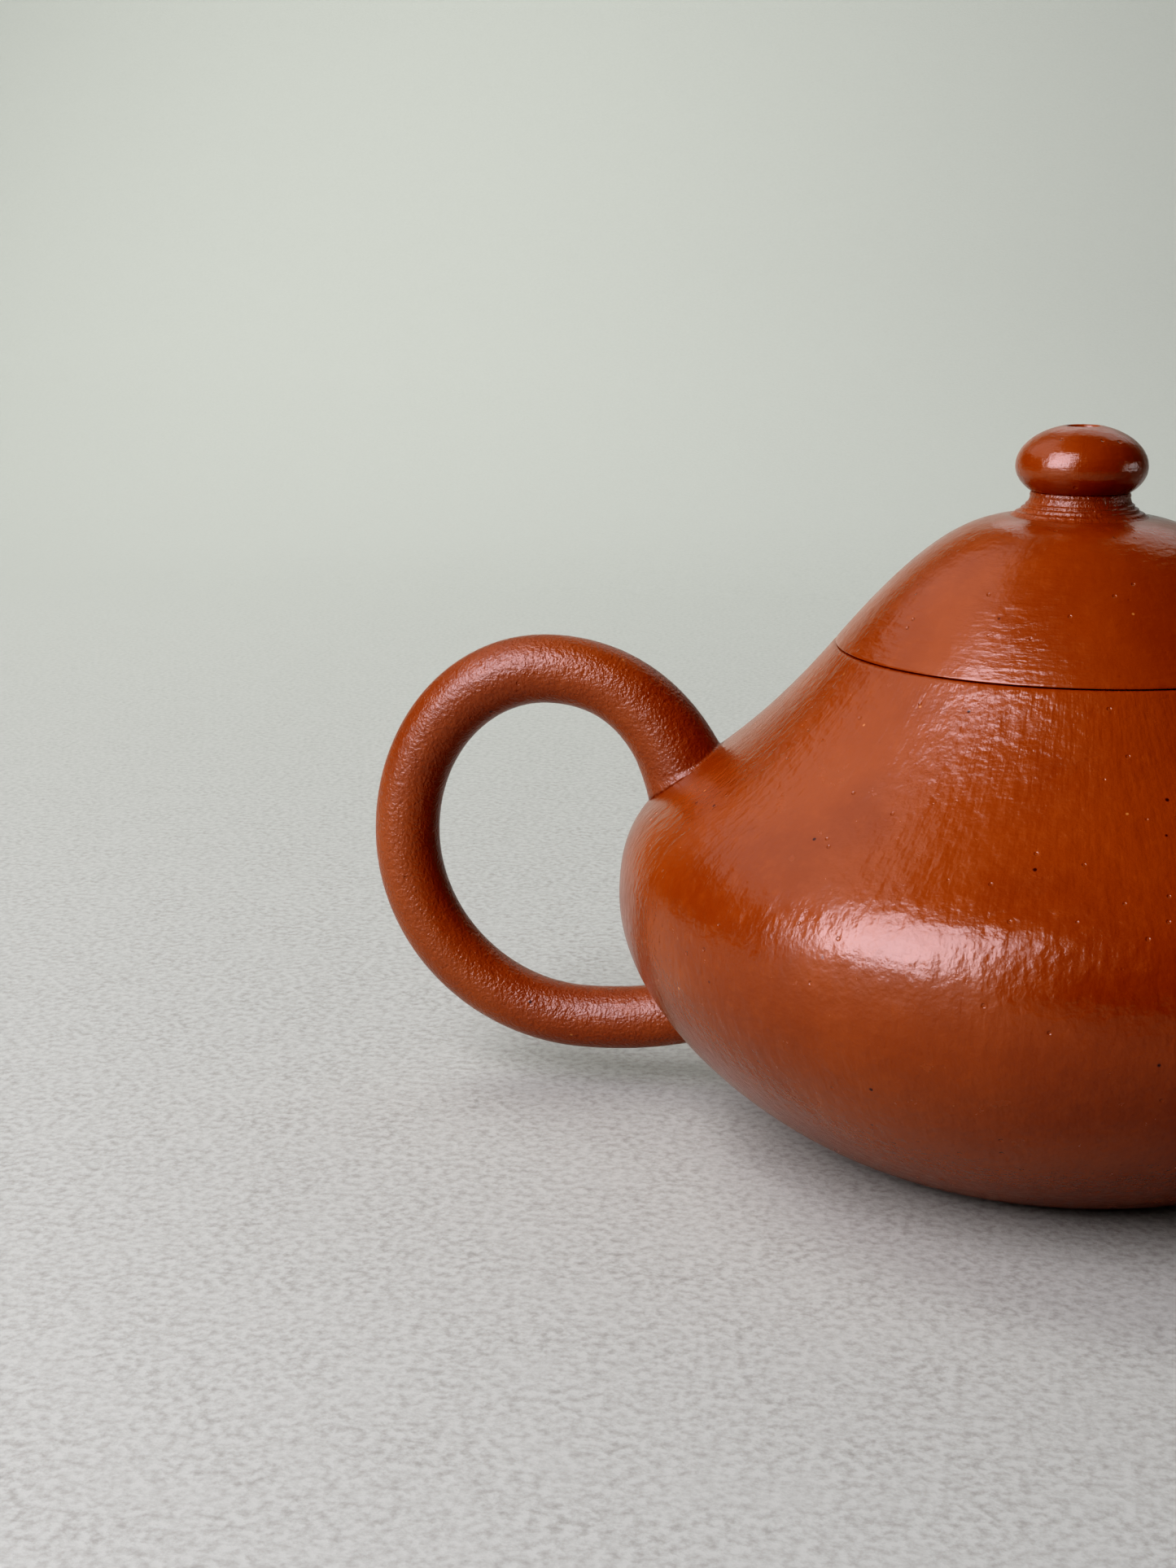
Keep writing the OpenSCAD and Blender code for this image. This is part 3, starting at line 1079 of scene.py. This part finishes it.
@dataclass
class Lid:
    """The lid: a domed cap on a flange that fits the mouth, with a collar and a round knob.

    Attributes:
        outline: The shared sizes.
        wall: Thickness of the dome.
        edge: Rounding of its edge at the seam.
        lift: Gap that the seam keeps.
        knob_r: Greatest radius of the knob.
        knob_crown: Height of the knob above that.
        knob_belly: Depth of its round underside.
        neck_r: Radius of the collar's neck.
    """

    outline: PotOutline
    wall: float = 2.2 * MM
    edge: float = 0.28 * MM
    lift: float = 0.08 * MM
    knob_r: float = 5.54 * MM
    knob_crown: float = 3.55 * MM
    knob_belly: float = 3.2 * MM
    neck_r: float = 4.15 * MM

    def cap_outline(self) -> list[Vector]:
        """Trace the cap: up the crown, across to the vent, down it, and back down the lining."""
        o = self.outline
        seat_z = o.mouth_z + self.lift
        crown = [p for p in o.crown().points(72) if p.y > seat_z]
        crown.insert(0, Vector((o.skin_r(seat_z), seat_z)))
        lining = [p for p in o.crown().points(56, self.wall) if p.x < o.flange_in_r]
        ceiling_z = lining[-1].y
        shelf = (o.flange_in_r, lining[0].y - 0.3 * MM)
        legs = [
            crown,
            line((o.collar_r, o.crown_z), (o.vent_r, o.crown_z)),
            line((o.vent_r, o.crown_z), (o.vent_r, ceiling_z)),
            line((o.vent_r, ceiling_z), tuple(lining[-1])) + lining[::-1][1:] + [Vector(shelf)],
            line(shelf, (o.flange_in_r, seat_z)),
            line((o.flange_in_r, seat_z), (crown[0].x, seat_z)),
        ]
        return ease(legs, [0.0, 0.05 * MM, 0.35 * MM, 0.0, 0.1 * MM, self.edge])

    def flange_outline(self) -> list[Vector]:
        """Trace the flange that keeps the lid in the mouth."""
        low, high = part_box("lid_flange")
        outer, inner = high.x, self.outline.flange_in_r
        top, bottom = high.z, low.z
        legs = [
            line((outer, bottom), (outer, top)),
            line((outer, top), (inner, top)),
            line((inner, top), (inner, bottom)),
            line((inner, bottom), (outer, bottom)),
        ]
        return ease(legs, [0.1 * MM, 0.1 * MM, 0.7 * MM, 0.8 * MM])

    def collar_outline(self) -> list[Vector]:
        """Trace the collar: a hollow curve with fine rings turned in it."""
        o = self.outline
        low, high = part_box("knob_collar")
        height = high.z - low.z
        side = Cubic(
            (o.collar_r, low.z), 155, 0.75 * (o.collar_r - self.neck_r), (self.neck_r, high.z), 92, 0.5 * height
        )
        beads = [(0.12, 0.09, 0.045), (0.29, 0.12, 0.045), (0.47, 0.10, 0.045), (0.88, 0.06, 0.06)]
        skin = []
        for i in range(61):
            t = i / 60
            spot, way = side.at(t), side.heading(t)
            level = (spot.y - low.z) / height
            raised = sum(h * math.exp(-(((level - c) / w) ** 2)) for c, h, w in beads)
            skin.append(spot + raised * MM * Vector((way.y, -way.x)))
        legs = [
            skin,
            line(tuple(skin[-1]), (o.vent_r, high.z)),
            line((o.vent_r, high.z), (o.vent_r, low.z)),
            line((o.vent_r, low.z), tuple(skin[0])),
        ]
        return ease(legs, [0.1 * MM, 0.0, 0.0, 0.02 * MM])

    def knob_outline(self) -> list[Vector]:
        """Trace the knob: a flattened ball with the vent through it."""
        low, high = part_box("knob")
        middle = low.z + self.knob_belly * math.sqrt(1 - (self.neck_r / self.knob_r) ** 2)
        first = -math.asin((middle - low.z) / self.knob_belly)
        last = math.acos(self.outline.vent_r / self.knob_r)
        ball = []
        for i in range(73):
            a = first + (last - first) * i / 72
            tall = self.knob_belly if a < 0 else self.knob_crown
            ball.append(Vector((self.knob_r * math.cos(a), middle + tall * math.sin(a))))
        v = self.outline.vent_r
        legs = [ball, line((v, ball[-1].y), (v, low.z)), line((v, low.z), tuple(ball[0]))]
        return ease(legs, [0.3 * MM, 0.0, 0.12 * MM])

    def cap_worked(self, spot: Vector) -> Working:
        """Say how the cap was worked at a point."""
        return Working.SCRAPED if self.outline.is_lining(spot) else Working.TURNED

    def make(self, kiln: Kiln) -> None:
        """Build and dress the cap, the flange, the collar and the knob."""
        cap = hide_under(throw("lid_cap", self.cap_outline()), "lid_top", "lid_seat_ring", "lid_dome")
        kiln.dress(cap, self.cap_worked)
        flange = hide_under(throw("lid_ring", self.flange_outline()), "lid_flange", "lid_flange")
        kiln.dress(flange, Working.SCRAPED)
        collar = hide_under(throw("collar", self.collar_outline(), 160), "lid_top", "knob_collar")
        kiln.dress(collar, Working.ROLLED)
        knob = hide_under(throw("round_knob", self.knob_outline(), 160), "lid_top", "knob")
        kiln.dress(knob, Working.TURNED)


# --- The table, the light and the camera ----------------------------------------------------------


@dataclass(frozen=True)
class PaperSweep:
    """Pale grey card, calendered and slightly fibrous, swept up behind the pot.

    Attributes:
        colour: The card's colour.
        fibre: The colour of its fibres.
        half_width: Half its width.
        front: Where it starts, in front of the pot.
        bend_start: Where it begins to bend up.
        bend_radius: Radius of the bend.
        top: Height of its top edge.
        mottle_near: Distance from the pot's middle up to which its fibres show fully.
        mottle_far: Distance past which they hardly show.
    """

    colour: str = "ADAFA6"
    fibre: str = "807E75"
    half_width: float = 2.2
    front: float = -1.6
    bend_start: float = 0.30
    bend_radius: float = 0.55
    top: float = 2.2
    mottle_near: float = 0.06
    mottle_far: float = 0.4

    def build(self) -> bpy.types.Object:
        """Bend the sweep from a line of points pulled across."""
        shape = bmesh.new()
        turn = [
            (self.bend_start + self.bend_radius * math.sin(a), self.bend_radius * (1 - math.cos(a)))
            for a in (math.pi / 2 * i / 24 for i in range(25))
        ]
        track = [(self.front, 0.0), *turn, (self.bend_start + self.bend_radius, self.top)]
        spots = [shape.verts.new((-self.half_width, y, z)) for y, z in track]
        edges = [shape.edges.new(pair) for pair in zip(spots, spots[1:])]
        grown = bmesh.ops.extrude_edge_only(shape, edges=edges)["geom"]
        moved = [g for g in grown if isinstance(g, bmesh.types.BMVert)]
        bmesh.ops.translate(shape, verts=moved, vec=Vector((2 * self.half_width, 0.0, 0.0)))
        piece = finish_mesh("paper_sweep", shape)
        piece.data.materials.append(self.material())
        piece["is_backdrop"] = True
        return piece

    def material(self) -> bpy.types.Material:
        """Build the card: a soft cloud of fibre that shows near the pot."""
        made = bpy.data.materials.new("grey_card")
        made.use_nodes = True
        tree = made.node_tree
        tree.nodes.clear()
        place = add_node(tree, "ShaderNodeTexCoord").outputs["Object"]
        fine = add_node(tree, "ShaderNodeTexNoise", Vector=place, Scale=per(0.8), Detail=3.0, Roughness=0.6)
        broad = add_node(tree, "ShaderNodeTexNoise", Vector=place, Scale=per(6.0), Detail=3.0)
        share = add_node(
            tree, "ShaderNodeMapRange", Value=fine.outputs["Fac"], From_Min=0.40, From_Max=0.72, To_Min=0.0, To_Max=0.62
        )
        soft = add_node(
            tree, "ShaderNodeMapRange", Value=broad.outputs["Fac"], From_Min=0.3, From_Max=0.7, To_Min=0.75, To_Max=1.15
        )
        reach = add_node(tree, "ShaderNodeVectorMath", {"operation": "LENGTH"}, i0=place)
        near = add_node(
            tree,
            "ShaderNodeMapRange",
            Value=reach.outputs["Value"],
            From_Min=self.mottle_near,
            From_Max=self.mottle_far,
            To_Min=1.0,
            To_Max=0.1,
        )
        patchy = add_node(tree, "ShaderNodeMath", {"operation": "MULTIPLY"}, i0=share.outputs[0], i1=soft.outputs[0])
        both = add_node(tree, "ShaderNodeMath", {"operation": "MULTIPLY"}, i0=patchy.outputs[0], i1=near.outputs[0])
        tint = add_node(
            tree,
            "ShaderNodeMix",
            {"data_type": "RGBA"},
            i0=both.outputs[0],
            i6=linear(self.colour),
            i7=linear(self.fibre),
        )
        bump = add_node(tree, "ShaderNodeBump", Strength=0.6, Distance=0.00008, Height=fine.outputs["Fac"])
        shader = add_node(
            tree, "ShaderNodeBsdfPrincipled", Base_Color=tint.outputs[2], Normal=bump.outputs["Normal"]
        )
        shader.inputs["Roughness"].default_value = 0.85
        shader.inputs["Specular IOR Level"].default_value = 0.2
        add_node(tree, "ShaderNodeOutputMaterial", Surface=shader.outputs["BSDF"])
        return made


@dataclass(frozen=True)
class Lamp:
    """A soft rectangular light that faces the pot.

    Attributes:
        name: The light's name.
        bearing: Degrees from the front of the pot, positive towards the spout.
        height: Degrees above the table.
        distance: Metres from the pot.
        width: Metres across.
        tall: Metres high.
        power: Watts.
        colour: Its colour.
        spread: Degrees over which it throws its light.
        mirrored: Whether a gloss shows it.
    """

    name: str
    bearing: float
    height: float
    distance: float
    width: float
    tall: float
    power: float
    colour: str = "FFFFFF"
    spread: float = 180.0
    mirrored: bool = True

    def place(self, target: Vector) -> bpy.types.Object:
        """Set the light up to face a target."""
        data = bpy.data.lights.new(self.name, "AREA")
        data.shape = "RECTANGLE"
        data.size = self.width
        data.size_y = self.tall
        data.energy = self.power
        data.color = linear(self.colour)[:3]
        data.spread = math.radians(self.spread)
        lamp = bpy.data.objects.new(self.name, data)
        lamp.visible_glossy = self.mirrored
        bearing, height = math.radians(self.bearing), math.radians(self.height)
        way = Vector((math.sin(bearing) * math.cos(height), -math.cos(bearing) * math.cos(height), math.sin(height)))
        lamp.location = target + self.distance * way
        lamp.rotation_euler = way.to_track_quat("Z", "Y").to_euler()
        bpy.context.scene.collection.objects.link(lamp)
        return lamp


@dataclass(frozen=True)
class Studio:
    """The room: a window light from the left, a faint return from the right, grey air and the camera.

    Attributes:
        air: The air's colour on its bright side.
        shade: Its colour on its dark side.
        air_strength: How much light the air gives.
        wall: The far wall's colour past the card, which lights nothing.
        bright_side: The way towards the bright side of the air.
        lens_mm: The camera's lens.
        eye: Where the camera stands.
        turn_left: Degrees that it is turned to the left.
        look_down: Degrees that it looks down.
        lamps: The lights that face the pot.
        sweep_lamp: The light on the card behind, which no gloss shows.
        sweep_middle: The point that it faces.
        print_curve: The tones of the finished picture.
    """

    air: str = "C6CACD"
    shade: str = "4A4744"
    air_strength: float = 0.135
    wall: str = "B4B6B2"
    bright_side: tuple[float, float, float] = (-0.56, 0.56, 0.61)
    lens_mm: float = 52.31
    eye: tuple[float, float, float] = (0.0, -198.3 * MM, 76.5 * MM)
    turn_left: float = 12.16
    look_down: float = 13.2
    lamps: tuple[Lamp, ...] = (
        Lamp("window", -42.0, 36.0, 0.40, 0.27, 0.36, 2.75, "F6F1FF"),
        Lamp("lit_wall", -42.0, 13.0, 0.45, 0.52, 0.40, 0.85, "FBF6FF"),
        Lamp("back_window", 172.0, 40.0, 0.45, 0.30, 0.26, 0.22, "F6F9FF"),
        Lamp("left_wall", -110.0, 48.0, 0.45, 0.40, 0.30, 0.34, "FBF6FF"),
        Lamp("far_wall", 95.0, 5.0, 1.1, 0.60, 0.45, 3.0, "F0F0F5"),
    )
    sweep_lamp: Lamp = Lamp("sweep_light", -38.0, 48.0, 0.75, 0.5, 0.4, 3.8, "FAFCFF", 118.0, False)
    sweep_middle: tuple[float, float, float] = (-0.12, 0.62, 0.10)
    # Dark tones fall away faster than light does, as film prints them: (light in, tone out).
    print_curve: tuple[tuple[float, float], ...] = (
        (0.0, 0.0),
        (0.02, 0.0013),
        (0.04, 0.0078),
        (0.06, 0.0187),
        (0.09, 0.0397),
        (0.13, 0.0730),
        (0.20, 0.1358),
        (0.32, 0.2495),
        (0.50, 0.4267),
        (0.70, 0.6265),
        (1.0, 0.93),
    )

    def set_up(self) -> None:
        """Place the lights, the air, the sweep and the camera."""
        low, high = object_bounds()
        target = Vector((0.0, 0.0, (low[2] + high[2]) / 2))
        for lamp in self.lamps:
            lamp.place(target)
        self.sweep_lamp.place(Vector(self.sweep_middle))
        bpy.context.scene.world = self._room()
        PaperSweep().build()
        self._camera()
        self._print()

    def _room(self) -> bpy.types.World:
        """Fill the room with grey air that is bright to the left and behind, and dark where the viewer stands."""
        world = bpy.data.worlds.new("grey_air")
        world.use_nodes = True
        tree = world.node_tree
        ground = tree.nodes["Background"]
        way = add_node(tree, "ShaderNodeTexCoord").outputs["Generated"]
        along = add_node(tree, "ShaderNodeVectorMath", {"operation": "DOT_PRODUCT"}, i0=way, i1=self.bright_side)
        share = add_node(tree, "ShaderNodeMapRange", Value=along.outputs["Value"], From_Min=-0.7, From_Max=0.8)
        tint = add_node(
            tree,
            "ShaderNodeMix",
            {"data_type": "RGBA"},
            i0=share.outputs[0],
            i6=linear(self.shade),
            i7=linear(self.air),
        )
        tree.links.new(tint.outputs[2], ground.inputs["Color"])
        ground.inputs["Strength"].default_value = self.air_strength
        wall = add_node(tree, "ShaderNodeBackground", Color=linear(self.wall))
        sight = add_node(tree, "ShaderNodeLightPath").outputs["Is Camera Ray"]
        seen = add_node(
            tree, "ShaderNodeMixShader", i0=sight, i1=ground.outputs["Background"], i2=wall.outputs["Background"]
        )
        tree.links.new(seen.outputs["Shader"], tree.nodes["World Output"].inputs["Surface"])
        return world

    def _print(self) -> None:
        """Set the tones of the finished picture."""
        view = bpy.context.scene.view_settings
        view.view_transform = "Standard"
        view.use_curve_mapping = True
        tones = view.curve_mapping.curves[3].points
        tones[0].location, tones[-1].location = self.print_curve[0], self.print_curve[-1]
        for spot in self.print_curve[1:-1]:
            tones.new(*spot)
        view.curve_mapping.update()

    def _camera(self) -> None:
        """Set the camera at the viewing angle."""
        data = bpy.data.cameras.new("camera")
        data.sensor_width = 36.0
        data.lens = self.lens_mm
        data.clip_start = 0.01
        camera = bpy.data.objects.new("camera", data)
        camera.location = self.eye
        camera.rotation_euler = Euler((math.radians(90 - self.look_down), 0.0, math.radians(self.turn_left)))
        bpy.context.scene.collection.objects.link(camera)
        bpy.context.scene.camera = camera


def main() -> None:
    """Build the pot, its lid and the studio."""
    logging.basicConfig(level=logging.INFO, format="%(message)s")
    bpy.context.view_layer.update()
    kiln = Kiln()
    outline = PotOutline()
    wall = PotBody(outline).make(kiln)
    Handle(outline).make(kiln)
    Spout(outline).make(kiln, wall)
    Lid(outline).make(kiln)
    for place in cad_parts["spout_strainer"].material_slots:
        place.material = kiln.fire(Working.SCRAPED)
    Studio().set_up()


if __name__ == "__main__":
    main()
